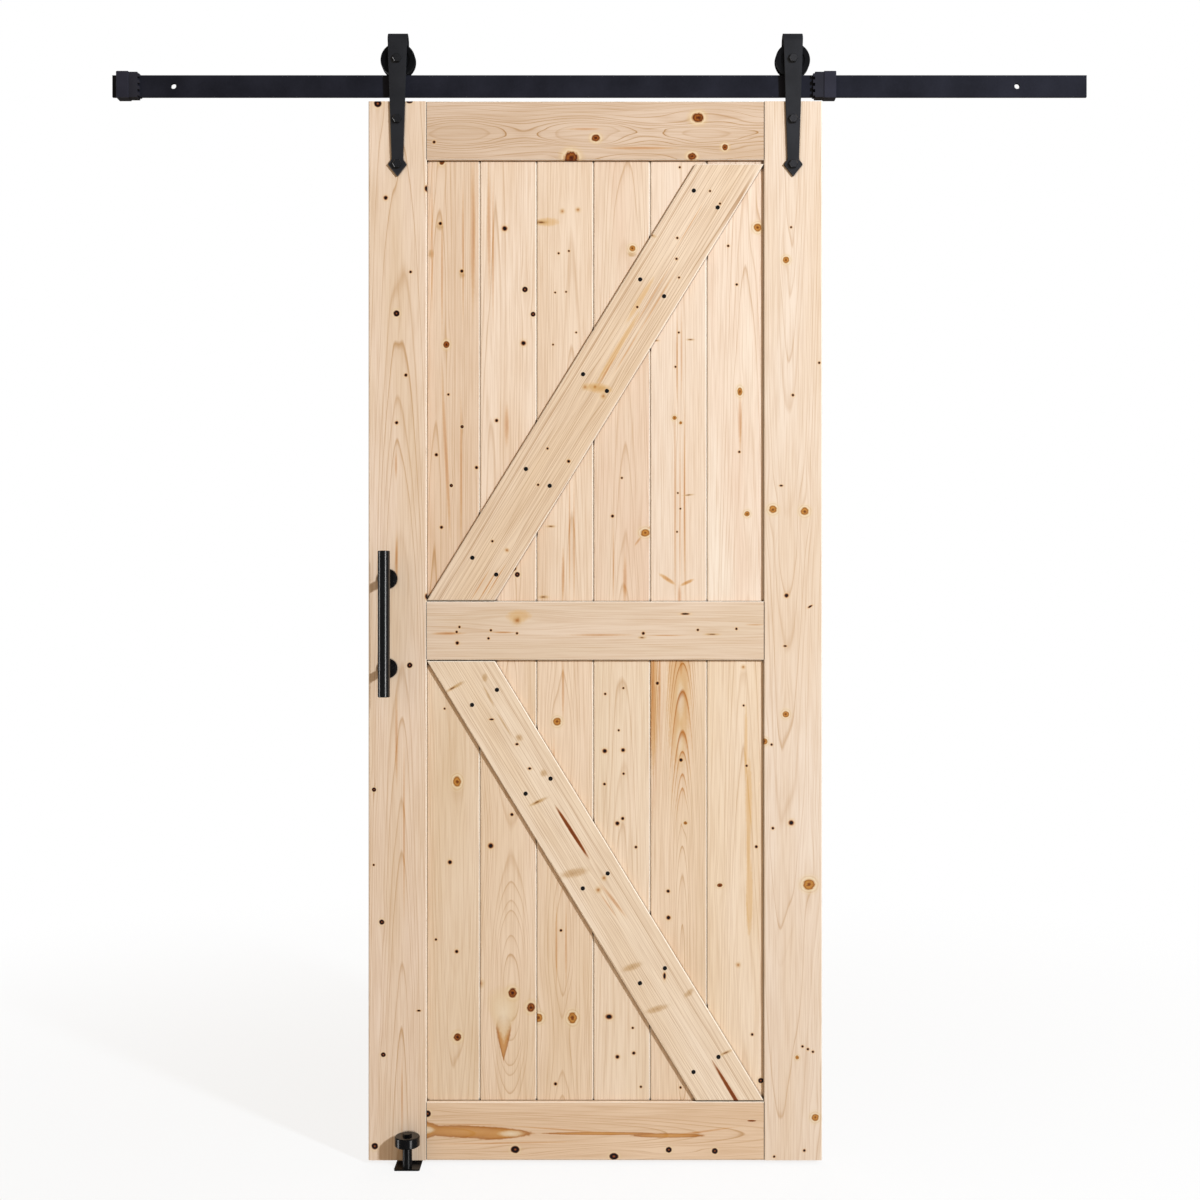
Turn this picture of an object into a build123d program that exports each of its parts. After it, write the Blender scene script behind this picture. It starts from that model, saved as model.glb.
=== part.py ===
# Sliding barn door on a wall rail: a framed wooden slab with two braces, hung from two
# grooved wheels, with a pull handle, two rail stops and a roller at the floor.
# Millimetres. X runs to the right along the rail, Y towards the wall, Z up.
# The origin is the middle of the left wall spacer's back face, so the wall is y = 0.

import math
import os

from build123d import *

os.makedirs("parts", exist_ok=True)

# Door slab
door_width = 914.0
door_height = 2134.0
frame_thickness = 35.0
stile_width = 117.0
rail_width = 118.0
edge_easing = 1.8
shoulder_gap = 0.5

# Groove round both openings, and the tongues and tenons that sit in it
groove_width = 10.0
groove_depth = 12.0
tongue_side_gap = 0.2
tongue_end_gap = 0.5

# Boards that fill each opening, edge to edge with a vee between them
board_count = 6
board_thickness = 19.0
first_board_trim = 7.8
board_gap = 0.3
vee_depth = 2.4
edge_tongue_thickness = 5.6
edge_tongue_length = 6.0

# Braces laid on the boards, level with the frame
brace_width = 117.0
brace_side_gap = 0.5
brace_end_gap = 2.0
upper_brace_head_gap = 8.0

# Wall rail and the spacers that hold it off the wall
track_height = 44.0
track_thickness = 6.0
track_hole_radius = 5.5
track_hole_pitch = 1706.0
track_left_end = 123.5
track_right_end = 140.5
spacer_length = 38.0
spacer_radius = 10.0
door_gap = 12.0

# Grooved wheels
wheel_radius = 35.0
wheel_groove_depth = 6.3
wheel_width = 20.0
wheel_hub_width = 25.0
wheel_hub_radius = 13.0
wheel_rim_depth = 11.0
wheel_web_inset = 3.0
wheel_edge = 1.5
wheel_track_gap = 0.3
wheel_side_gap = 1.0
wheel_groove_flare = 1.2
hub_gap = 0.5
running_clearance = 0.08

# Bent strap of each hanger
strap_thickness = 5.0
strap_width = 39.0
strap_neck_width = 23.0
strap_head_width = 38.0
strap_rise = 55.0
strap_drop = 152.0
strap_head_length = 24.0
strap_barb_length = 10.0
strap_edge = 0.8

# Bolts of the hangers
bolt_radius = 5.0
bolt_hole_gap = 0.2
bolt_across_flats = 16.0
bolt_head_height = 6.5
bolt_head_edge = 1.0
bolt_tail = 2.0
nut_height = 8.0
washer_radius = 10.0
washer_thickness = 2.0
upper_bolt_drop = 37.0

# Pull handle
handle_bar_radius = 12.0
handle_bar_length = 290.0
handle_bar_edge = 1.0
handle_overhang = 55.0
handle_post_radius = 8.0
handle_reach = 52.0
handle_inset = 38.5
handle_height = 1081.5
rose_radius = 20.0
rose_thickness = 5.0
rose_edge = 1.0
saddle_gap = 0.05
handle_bolt_radius = 3.0
handle_bolt_depth = 20.0
handle_bolt_head_radius = 6.0
handle_bolt_head_height = 4.0

# Stops clamped round the wall rail
stop_length = 25.0
stop_depth = 24.0
stop_top_lip = 6.0
stop_bottom_lip = 4.0
stop_edge = 1.0
stop_fit_gap = 0.25
stop_screw_radius = 3.0
stop_screw_pitch = 22.0
stop_screw_gap = 0.1
bumper_length = 17.5
bumper_inset = 1.5
bumper_rib_count = 4
bumper_rib_height = 4.0
bumper_rib_width = 6.4
bumper_wheel_gap = 6.0
left_stop_margin = 10.0

# Roller at the floor
floor_gap = 8.0
guide_inset = 81.5
guide_roller_radius = 25.0
guide_roller_height = 19.5
guide_roller_edge = 1.5
guide_roller_lift = 39.0
guide_door_gap = 0.5
guide_axle_radius = 6.0
guide_sleeve_radius = 9.5
guide_end_gap = 0.3
guide_head_across_flats = 16.0
guide_head_height = 4.5
guide_plate_width = 51.0
guide_plate_reach = 36.0
guide_plate_length = 80.0
guide_plate_thickness = 3.0
guide_plate_corner = 4.0
guide_screw_radius = 2.75
guide_screw_sink = 2.0
guide_screw_pitch = 32.0
guide_screw_back = 24.0

# Places that follow from the dimensions
left_x = 0.0
right_x = door_width - stile_width
middle_x = (left_x + right_x) / 2
opening_left = left_x + stile_width / 2
opening_right = right_x - stile_width / 2
opening_width = opening_right - opening_left
track_y = -(spacer_length + track_thickness / 2)
strap_offset = wheel_hub_width / 2 + hub_gap
door_front_y = track_y - strap_offset
door_back_y = door_front_y + frame_thickness
frame_y = (door_front_y + door_back_y) / 2
board_front_y = frame_y - board_thickness / 2
brace_thickness = board_front_y - door_front_y
strap_front_y = door_front_y - strap_thickness
strap_back_y = track_y + strap_offset + strap_thickness
wheel_groove_radius = wheel_radius - wheel_groove_depth
axle_z = track_height / 2 + wheel_track_gap + wheel_groove_radius
door_top_z = -track_height / 2 - door_gap
door_bottom_z = door_top_z - door_height
floor_z = door_bottom_z - floor_gap
opening_height = (door_height - 3 * rail_width) / 2
lower_opening_z = door_bottom_z + rail_width
upper_opening_z = lower_opening_z + opening_height + rail_width
tongue_thickness = groove_width - 2 * tongue_side_gap
tongue_length = groove_depth - tongue_end_gap
bolt_hole_radius = bolt_radius + bolt_hole_gap
upper_bolt_z = door_top_z - upper_bolt_drop
tip_z = door_top_z - strap_drop
head_z = tip_z + strap_head_length
handle_x = left_x - stile_width / 2 + handle_inset
handle_z = door_bottom_z + handle_height
handle_bar_y = door_front_y - handle_reach
handle_post_rise = handle_bar_length / 2 - handle_overhang
handle_post_z = (handle_z + handle_post_rise, handle_z - handle_post_rise)


def facing(x, y, z):
    # Upright plane seen from the front, its normal towards the viewer.
    return Plane(origin=(x, y, z), x_dir=(1, 0, 0), z_dir=(0, -1, 0))


def across(x, y, z):
    # Upright plane square to the rail, its normal to the right.
    return Plane(origin=(x, y, z), x_dir=(0, 1, 0), z_dir=(1, 0, 0))


def level(x, y, z):
    return Plane(origin=(x, y, z))


def disc(plane, radius):
    with BuildSketch(plane) as outline:
        Circle(radius)
    return outline.sketch


def hexagon(plane, across_flats):
    with BuildSketch(plane) as outline:
        RegularPolygon(across_flats / 2, 6, major_radius=False)
    return outline.sketch


def block(plane, width, height):
    with BuildSketch(plane) as outline:
        Rectangle(width, height)
    return outline.sketch


def save(part, name):
    part.label = name
    export_step(part, "parts/" + name + ".step")


# Stiles, grooved along their inner edges for the boards and the rails' tenons
for side, center_x, inward in (("left", left_x, 1), ("right", right_x, -1)):
    with BuildPart() as stile:
        with BuildSketch(level(center_x, frame_y, door_bottom_z)) as section:
            Rectangle(stile_width, frame_thickness)
            chamfer(section.vertices(), edge_easing)
            with Locations((inward * (stile_width - groove_depth) / 2, 0)):
                Rectangle(groove_depth, groove_width, mode=Mode.SUBTRACT)
        extrude(amount=door_height)
        for hole_z in (upper_bolt_z, head_z):
            front = facing(center_x, door_front_y, hole_z)
            extrude(disc(front, bolt_hole_radius), amount=-frame_thickness, mode=Mode.SUBTRACT)
        if side == "left":
            for hole_z in handle_post_z:
                front = facing(handle_x, door_front_y, hole_z)
                hole = disc(front, handle_bolt_radius + bolt_hole_gap)
                extrude(hole, amount=-frame_thickness, mode=Mode.SUBTRACT)
    save(stile.part, side + "_stile")

# Rails, tenoned into the stiles and grooved towards each opening
rail_rows = (
    ("top", upper_opening_z + opening_height, (-1,)),
    ("middle", lower_opening_z + opening_height, (-1, 1)),
    ("bottom", door_bottom_z, (1,)),
)
shoulder_left = opening_left + shoulder_gap
shoulder_length = opening_width - 2 * shoulder_gap
tenon_left = opening_left - tongue_length
tenon_span = opening_width + 2 * tongue_length
for name, low_z, grooved_edges in rail_rows:
    rail_z = low_z + rail_width / 2
    with BuildPart() as rail:
        with BuildSketch(across(shoulder_left, frame_y, rail_z)) as section:
            Rectangle(frame_thickness, rail_width)
            chamfer(section.vertices(), edge_easing)
        extrude(amount=shoulder_length)
        tenon = block(across(tenon_left, frame_y, rail_z), tongue_thickness, rail_width)
        extrude(tenon, amount=tenon_span)
        for edge in grooved_edges:
            groove_z = rail_z + edge * (rail_width - groove_depth) / 2
            groove = block(across(tenon_left, frame_y, groove_z), groove_width, groove_depth)
            extrude(groove, amount=tenon_span, mode=Mode.SUBTRACT)
    save(rail.part, name + "_rail")

# Boards: a tongue on the right edge, a groove on the left, and tongues at both ends
board_cover = (opening_width + first_board_trim) / board_count
edge_groove_width = edge_tongue_thickness + 2 * tongue_side_gap
edge_groove_depth = edge_tongue_length + tongue_end_gap
for row, low_z in (("upper", upper_opening_z), ("lower", lower_opening_z)):
    for index in range(board_count):
        first = index == 0
        last = index == board_count - 1
        left = opening_left - first_board_trim + index * board_cover + board_gap / 2
        right = left + board_cover - board_gap
        if first:
            left = opening_left + board_gap
        if last:
            right = opening_right - board_gap
        width = right - left
        body = level((left + right) / 2, frame_y, low_z + board_gap)
        ends = level((left + right) / 2, frame_y, low_z - tongue_length)
        with BuildPart() as board:
            with BuildSketch(body) as section:
                Rectangle(width, board_thickness)
                corners = section.vertices().sort_by(Axis.X)
                if first:
                    corners = corners[2:]
                if last:
                    corners = corners[:2]
                chamfer(corners, vee_depth)
                if first:
                    with Locations((-width / 2 - tongue_length / 2, 0)):
                        Rectangle(tongue_length, tongue_thickness)
                else:
                    with Locations((-width / 2 + edge_groove_depth / 2, 0)):
                        Rectangle(edge_groove_depth, edge_groove_width, mode=Mode.SUBTRACT)
                if last:
                    with Locations((width / 2 + tongue_length / 2, 0)):
                        Rectangle(tongue_length, tongue_thickness)
                else:
                    with Locations((width / 2 + edge_tongue_length / 2, 0)):
                        Rectangle(edge_tongue_length, edge_tongue_thickness)
            extrude(amount=opening_height - 2 * board_gap)
            lower_end = block(ends, width, tongue_thickness)
            extrude(lower_end, amount=tongue_length + board_gap)
            upper_end = block(ends.offset(opening_height + 2 * tongue_length), width, tongue_thickness)
            extrude(upper_end, amount=-(tongue_length + board_gap))
        save(board.part, row + "_board_" + str(index + 1))

# Braces: one stock width, cut level at both ends to lie between the stiles
brace_span = opening_width - 2 * brace_side_gap
brace_left = opening_left + brace_side_gap
brace_right = opening_right - brace_side_gap
brace_rows = (
    ("upper", upper_opening_z, upper_brace_head_gap, True),
    ("lower", lower_opening_z, brace_end_gap, False),
)
for row, low_z, head_gap, leans_right in brace_rows:
    brace_foot_z = low_z + brace_end_gap
    brace_head_z = low_z + opening_height - head_gap
    brace_rise = brace_head_z - brace_foot_z
    left_z = brace_foot_z if leans_right else brace_head_z
    right_z = brace_head_z if leans_right else brace_foot_z
    # Length of the level cut at which both long edges lie one stock width apart
    square = brace_rise**2 - brace_width**2
    linear = 2 * brace_width**2 * brace_span
    constant = -(brace_width**2) * (brace_rise**2 + brace_span**2)
    brace_cut = (math.sqrt(linear**2 - 4 * square * constant) - linear) / (2 * square)
    with BuildPart() as brace:
        with BuildSketch(facing(0, board_front_y, 0)):
            with BuildLine():
                Polyline(
                    (brace_left, left_z),
                    (brace_left + brace_cut, left_z),
                    (brace_right, right_z),
                    (brace_right - brace_cut, right_z),
                    close=True,
                )
            make_face()
        extrude(amount=brace_thickness)
        chamfer(brace.faces().sort_by(Axis.Y)[0].edges(), edge_easing)
    save(brace.part, row + "_brace")

# Hangers: one flat strap with an arrow tip, bent back over the wheel and down behind it
bend_radius = strap_offset + strap_thickness / 2
bend_z = axle_z + strap_rise - strap_offset - strap_thickness
neck_z = head_z + strap_barb_length
for side, center_x in (("left", left_x), ("right", right_x)):
    with BuildPart() as hanger:
        with BuildSketch(facing(center_x, door_front_y, 0)):
            with BuildLine():
                Polyline(
                    (-strap_width / 2, bend_z),
                    (-strap_neck_width / 2, neck_z),
                    (-strap_head_width / 2, head_z),
                    (0, tip_z),
                    (strap_head_width / 2, head_z),
                    (strap_neck_width / 2, neck_z),
                    (strap_width / 2, bend_z),
                    close=True,
                )
            make_face()
        extrude(amount=strap_thickness)
        front_edges = hanger.faces().sort_by(Axis.Y)[0].edges().sort_by(Axis.Z)[:-1]
        chamfer(front_edges, strap_edge)
        with BuildSketch(level(center_x, track_y - bend_radius, bend_z)):
            Rectangle(strap_width, strap_thickness)
        revolve(axis=Axis((center_x, track_y, bend_z), (-1, 0, 0)), revolution_arc=180)
        with BuildSketch(facing(center_x, strap_back_y, axle_z)):
            Circle(strap_width / 2)
            with Locations((0, (bend_z - axle_z) / 2)):
                Rectangle(strap_width, bend_z - axle_z)
        extrude(amount=strap_thickness)
        axle_hole = disc(facing(center_x, strap_front_y, axle_z), bolt_hole_radius)
        extrude(axle_hole, amount=strap_front_y - strap_back_y, mode=Mode.SUBTRACT)
        for hole_z in (upper_bolt_z, head_z):
            front = facing(center_x, strap_front_y, hole_z)
            extrude(disc(front, bolt_hole_radius), amount=-strap_thickness, mode=Mode.SUBTRACT)
    save(hanger.part, side + "_hanger")

# Axle bolts through strap, wheel and strap, and the bolts that hold the straps to the door
for side, center_x in (("left", left_x), ("right", right_x)):
    with BuildPart() as axle:
        front = facing(center_x, strap_front_y, axle_z)
        extrude(hexagon(front, bolt_across_flats), amount=bolt_head_height)
        chamfer(axle.faces().sort_by(Axis.Y)[0].edges(), bolt_head_edge)
        shank = strap_back_y - strap_front_y + nut_height + bolt_tail
        extrude(disc(front, bolt_radius), amount=-shank)
        extrude(hexagon(facing(center_x, strap_back_y, axle_z), bolt_across_flats), amount=-nut_height)
    save(axle.part, side + "_axle_bolt")
    with BuildPart() as bolts:
        for bolt_z in (upper_bolt_z, head_z):
            front = facing(center_x, strap_front_y, bolt_z)
            back = facing(center_x, door_back_y, bolt_z)
            head = extrude(hexagon(front, bolt_across_flats), amount=bolt_head_height)
            chamfer(head.faces().sort_by(Axis.Y)[0].edges(), bolt_head_edge)
            grip = door_back_y - strap_front_y
            extrude(disc(front, bolt_radius), amount=-(grip + washer_thickness + nut_height + bolt_tail))
            extrude(disc(back, washer_radius), amount=-washer_thickness)
            extrude(hexagon(back, bolt_across_flats), amount=-(washer_thickness + nut_height))
    save(bolts.part, side + "_hanger_bolts")

# Wheels: turned, with a groove that straddles the wall rail and a sunk web each side
groove_half = track_thickness / 2 + wheel_side_gap
for side, center_x in (("left", left_x), ("right", right_x)):
    with BuildPart() as wheel:
        with BuildSketch(Plane(origin=(center_x, track_y, axle_z), x_dir=(0, 0, 1), z_dir=(1, 0, 0))):
            with BuildLine():
                half = [
                    (bolt_radius + running_clearance, wheel_hub_width / 2),
                    (wheel_hub_radius, wheel_hub_width / 2),
                    (wheel_hub_radius, wheel_width / 2 - wheel_web_inset),
                    (wheel_radius - wheel_rim_depth, wheel_width / 2 - wheel_web_inset),
                    (wheel_radius - wheel_rim_depth, wheel_width / 2),
                    (wheel_radius - wheel_edge, wheel_width / 2),
                    (wheel_radius, wheel_width / 2 - wheel_edge),
                    (wheel_radius, groove_half + wheel_groove_flare),
                    (wheel_groove_radius, groove_half),
                ]
                mirrored = [(radius, -along) for radius, along in reversed(half)]
                Polyline(*half, *mirrored, close=True)
            make_face()
        revolve(axis=Axis((center_x, track_y, axle_z), (0, 1, 0)))
    save(wheel.part, side + "_wheel")

# Pull handle: a round bar on two posts, each with a rose against the stile
with BuildPart() as handle_bar:
    bar_section = disc(level(handle_x, handle_bar_y, handle_z), handle_bar_radius)
    extrude(bar_section, amount=handle_bar_length / 2, both=True)
    chamfer(handle_bar.edges().filter_by(GeomType.CIRCLE), handle_bar_edge)
save(handle_bar.part, "handle_bar")
for name, post_z in zip(("upper", "lower"), handle_post_z):
    with BuildPart() as post:
        front = facing(handle_x, door_front_y, post_z)
        extrude(disc(front, rose_radius), amount=rose_thickness)
        chamfer(post.faces().sort_by(Axis.Y)[0].edges(), rose_edge)
        extrude(disc(front, handle_post_radius), amount=handle_reach)
        saddle = disc(level(handle_x, handle_bar_y, post_z), handle_bar_radius + saddle_gap)
        extrude(saddle, amount=rose_radius, both=True, mode=Mode.SUBTRACT)
        thread = disc(front, handle_bolt_radius + running_clearance)
        extrude(thread, amount=handle_bolt_depth + tongue_end_gap, mode=Mode.SUBTRACT)
    save(post.part, name + "_handle_post")
with BuildPart() as handle_bolts:
    for post_z in handle_post_z:
        back = facing(handle_x, door_back_y, post_z)
        extrude(disc(back, handle_bolt_head_radius), amount=-handle_bolt_head_height)
        extrude(disc(back, handle_bolt_radius), amount=frame_thickness + handle_bolt_depth)
save(handle_bolts.part, "handle_bolts")

# Wall rail, with open holes near its ends and a hole at each spacer
track_left = middle_x - track_hole_pitch / 2 - track_left_end
track_right = middle_x + track_hole_pitch / 2 + track_right_end
outer_holes = (middle_x - track_hole_pitch / 2, middle_x + track_hole_pitch / 2)
with BuildPart() as track_bar:
    with BuildSketch(facing((track_left + track_right) / 2, -spacer_length, 0)):
        Rectangle(track_right - track_left, track_height)
    extrude(amount=track_thickness)
    for hole_x in (outer_holes[0], left_x, right_x, outer_holes[1]):
        hole = disc(facing(hole_x, -spacer_length, 0), track_hole_radius)
        extrude(hole, amount=track_thickness, mode=Mode.SUBTRACT)
save(track_bar.part, "track_bar")
for side, center_x in (("left", left_x), ("right", right_x)):
    with BuildPart() as spacer:
        with BuildSketch(facing(center_x, 0, 0)):
            Circle(spacer_radius)
            Circle(track_hole_radius, mode=Mode.SUBTRACT)
        extrude(amount=spacer_length)
    save(spacer.part, side + "_wall_spacer")

# Stops: a steel collar round the wall rail with a ribbed rubber bumper towards the wheel
stop_top_z = track_height / 2 + stop_top_lip
stop_bottom_z = -track_height / 2 - stop_bottom_lip
stop_z = (stop_top_z + stop_bottom_z) / 2
stop_height = stop_top_z - stop_bottom_z
slot_width = track_thickness + 2 * stop_fit_gap
slot_height = track_height + 2 * stop_fit_gap
right_stop_x = right_x + wheel_radius + bumper_wheel_gap + bumper_rib_height + bumper_length
left_stop_x = track_left + left_stop_margin + stop_length
for side, joint_x, outward in (("left", left_stop_x, -1), ("right", right_stop_x, 1)):
    with BuildPart() as stop:
        with BuildSketch(across(joint_x, track_y, stop_z)):
            Rectangle(stop_depth, stop_height)
        extrude(amount=outward * stop_length)
        chamfer(stop.edges(), stop_edge)
        slot = block(across(joint_x, track_y, 0), slot_width, slot_height)
        extrude(slot, amount=outward * stop_length, mode=Mode.SUBTRACT)
        for screw_z in (-stop_screw_pitch / 2, stop_screw_pitch / 2):
            back = facing(joint_x + outward * stop_length / 2, track_y + stop_depth / 2, screw_z)
            screw_hole = disc(back, stop_screw_radius + stop_screw_gap)
            extrude(screw_hole, amount=(stop_depth - slot_width) / 2, mode=Mode.SUBTRACT)
    save(stop.part, side + "_stop")
    with BuildPart() as bumper:
        with BuildSketch(across(joint_x, track_y, stop_z)):
            Rectangle(stop_depth - 2 * bumper_inset, stop_height - 2 * bumper_inset)
        extrude(amount=-outward * bumper_length)
        rib_step = (stop_height - 2 * bumper_inset) / bumper_rib_count
        for rib in range(bumper_rib_count):
            rib_z = stop_bottom_z + bumper_inset + (rib + 0.5) * rib_step
            rib_face = across(joint_x - outward * bumper_length, track_y, rib_z)
            rib_section = block(rib_face, stop_depth - 2 * bumper_inset, bumper_rib_width)
            extrude(rib_section, amount=-outward * bumper_rib_height)
        slot = block(across(joint_x, track_y, 0), slot_width, slot_height)
        extrude(slot, amount=-outward * (bumper_length + bumper_rib_height), mode=Mode.SUBTRACT)
    save(bumper.part, side + "_stop_bumper")

# Floor roller: a plate that runs under the door, a sleeved axle and a free roller
guide_x = left_x - stile_width / 2 + guide_inset
guide_y = door_front_y - guide_door_gap - guide_roller_radius
roller_z = door_bottom_z + guide_roller_lift
roller_top_z = roller_z + guide_roller_height
plate_front_y = door_front_y - guide_plate_reach
plate_y = plate_front_y + guide_plate_length / 2
plate_top_z = floor_z + guide_plate_thickness
screw_y = plate_front_y + guide_plate_length - guide_screw_back
with BuildPart() as guide_plate:
    with BuildSketch(level(guide_x, plate_y, floor_z)):
        RectangleRounded(guide_plate_width, guide_plate_length, guide_plate_corner)
    extrude(amount=guide_plate_thickness)
    for screw_x in (guide_x - guide_screw_pitch / 2, guide_x + guide_screw_pitch / 2):
        with Locations((screw_x, screw_y, plate_top_z)):
            CounterSinkHole(guide_screw_radius, guide_screw_radius + guide_screw_sink, guide_plate_thickness)
save(guide_plate.part, "guide_plate")
with BuildPart() as guide_axle:
    sleeve_height = roller_z - guide_end_gap - plate_top_z
    extrude(disc(level(guide_x, guide_y, plate_top_z), guide_sleeve_radius), amount=sleeve_height)
    axle_length = roller_top_z + guide_end_gap - plate_top_z
    extrude(disc(level(guide_x, guide_y, plate_top_z), guide_axle_radius), amount=axle_length)
    head_face = level(guide_x, guide_y, roller_top_z + guide_end_gap)
    extrude(hexagon(head_face, guide_head_across_flats), amount=guide_head_height)
    chamfer(guide_axle.faces().sort_by(Axis.Z)[-1].edges(), bolt_head_edge)
save(guide_axle.part, "guide_axle")
with BuildPart() as guide_roller:
    with BuildSketch(level(guide_x, guide_y, roller_z)):
        Circle(guide_roller_radius)
        Circle(guide_axle_radius + running_clearance, mode=Mode.SUBTRACT)
    extrude(amount=guide_roller_height)
    rims = guide_roller.edges().filter_by(GeomType.CIRCLE).sort_by(SortBy.RADIUS)[-2:]
    chamfer(rims, guide_roller_edge)
save(guide_roller.part, "guide_roller")
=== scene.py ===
import math

import bmesh
import bpy
from mathutils import Euler, Matrix, Vector


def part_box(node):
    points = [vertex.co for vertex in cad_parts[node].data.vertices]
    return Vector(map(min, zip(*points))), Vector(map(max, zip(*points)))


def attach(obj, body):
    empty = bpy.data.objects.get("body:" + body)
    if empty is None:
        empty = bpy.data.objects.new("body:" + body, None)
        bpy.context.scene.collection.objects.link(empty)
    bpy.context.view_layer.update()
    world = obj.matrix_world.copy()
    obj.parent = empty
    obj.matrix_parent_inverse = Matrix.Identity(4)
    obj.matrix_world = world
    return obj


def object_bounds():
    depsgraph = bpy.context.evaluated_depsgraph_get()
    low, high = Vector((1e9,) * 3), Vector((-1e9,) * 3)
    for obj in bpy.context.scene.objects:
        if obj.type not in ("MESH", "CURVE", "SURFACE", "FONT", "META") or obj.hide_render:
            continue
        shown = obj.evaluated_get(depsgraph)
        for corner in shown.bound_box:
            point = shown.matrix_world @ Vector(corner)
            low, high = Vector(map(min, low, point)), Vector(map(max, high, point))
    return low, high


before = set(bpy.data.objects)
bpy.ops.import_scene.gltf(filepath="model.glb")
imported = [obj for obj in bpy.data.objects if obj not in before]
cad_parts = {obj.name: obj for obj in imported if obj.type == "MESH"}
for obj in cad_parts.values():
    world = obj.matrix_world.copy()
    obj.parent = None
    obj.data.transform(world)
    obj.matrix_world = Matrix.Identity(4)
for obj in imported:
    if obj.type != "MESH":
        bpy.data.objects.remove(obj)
cadBox = [list(corner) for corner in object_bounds()]
scene = bpy.context.scene
mmPerMetre = 1000
print("frame loaded:", len(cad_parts), "nodes")


def hexToLinear(code, alpha=1.0):
    channels = [int(code[i:i + 2], 16) / 255 for i in (0, 2, 4)]
    return [c / 12.92 if c <= 0.04045 else ((c + 0.055) / 1.055) ** 2.4 for c in channels] + [alpha]


def addNode(tree, kind, inputs, stops=None, **settings):
    node = tree.nodes.new(kind)
    for key, value in settings.items():
        setattr(node, key, value)
    for key, value in inputs.items():
        if isinstance(value, bpy.types.NodeSocket):
            tree.links.new(value, node.inputs[key])
        else:
            node.inputs[key].default_value = value
    for i, (place, code, alpha) in enumerate(stops or []):
        if i >= len(node.color_ramp.elements):
            node.color_ramp.elements.new(place)
        node.color_ramp.elements[i].position = place
        node.color_ramp.elements[i].color = hexToLinear(code, alpha)
    return node


def calculate(tree, operation, *values):
    return addNode(tree, "ShaderNodeMath", dict(enumerate(values)), operation=operation).outputs[0]


def calculateVector(tree, operation, *values):
    outputs = addNode(tree, "ShaderNodeVectorMath", dict(enumerate(values)), operation=operation).outputs
    return outputs["Value"] if operation in ("LENGTH", "DOT_PRODUCT") else outputs[0]


def mapRange(tree, value, source=(0, 1), target=(0, 1), **settings):
    return addNode(tree, "ShaderNodeMapRange", {
        "Value": value, "From Min": source[0], "From Max": source[1],
        "To Min": target[0], "To Max": target[1],
    }, **settings).outputs[0]


def mixColour(tree, share, first, second):
    return addNode(tree, "ShaderNodeMix", {0: share, 6: first, 7: second}, data_type="RGBA").outputs[2]


def newMaterial(name):
    material = bpy.data.materials.new(name)
    material.use_nodes = True
    return material, material.node_tree, material.node_tree.nodes["Principled BSDF"]


def dress(nodeName, material):
    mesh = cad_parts[nodeName].data
    mesh.materials.clear()
    mesh.materials.append(material)


def frontMiddle(low, high):
    return Vector(((low.x + high.x) / 2, low.y, (low.z + high.z) / 2))


# Camera straight in front of the door, as in the photo; pixels are of its 1200 x 1200 frame
photo = {
    "side": 1200,
    "focal": 1488.8,                # pixels
    "sensor": 36,                   # mm
    "eye": Vector((0.408, -3.054, -1.039)),
}
camera = bpy.data.objects.new("camera", bpy.data.cameras.new("camera"))
camera.data.sensor_width = photo["sensor"]
camera.data.lens = photo["sensor"] * photo["focal"] / photo["side"]
camera.location = photo["eye"]
camera.rotation_euler = (math.pi / 2, 0, 0)
scene.collection.objects.link(camera)
scene.camera = camera


def onDoor(px, py, y):
    # the point of the upright plane at depth y that a photo pixel shows
    scale = (y - photo["eye"].y) / photo["focal"]
    middle = photo["side"] / 2
    return photo["eye"] + Vector(((px - middle) * scale, y - photo["eye"].y, (middle - py) * scale))


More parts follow.
